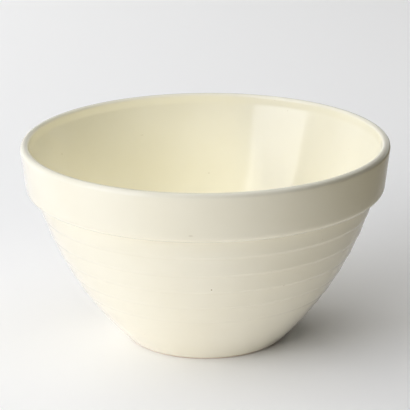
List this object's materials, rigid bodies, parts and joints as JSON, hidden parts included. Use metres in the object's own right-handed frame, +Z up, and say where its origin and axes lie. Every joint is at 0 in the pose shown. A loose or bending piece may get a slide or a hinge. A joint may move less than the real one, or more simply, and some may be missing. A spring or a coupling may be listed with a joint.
{
  "type": "mixing bowl",
  "caption": "Round cream-glazed earthenware mixing bowl with a broad rolled collar, stepped bands below it and a small bare foot ring; holds batter or dough.",
  "frame": {"origin": "centre of the foot ring's underside, on the surface that the bowl stands on", "axes": "+Z up along the bowl's axis; the bowl is round, and the picture looks along +Y with +X to the right"},
  "size_m": [0.27, 0.27, 0.149],
  "materials": {
    "bare_clay": "bare fired clay, matt and slightly gritty",
    "cream_glaze": "glossy cream glaze"
  },
  "bodies": {
    "root": {"clay_body": "bare_clay", "glaze_coat": "cream_glaze", "base_glaze": "cream_glaze"}
  },
  "joints": []
}
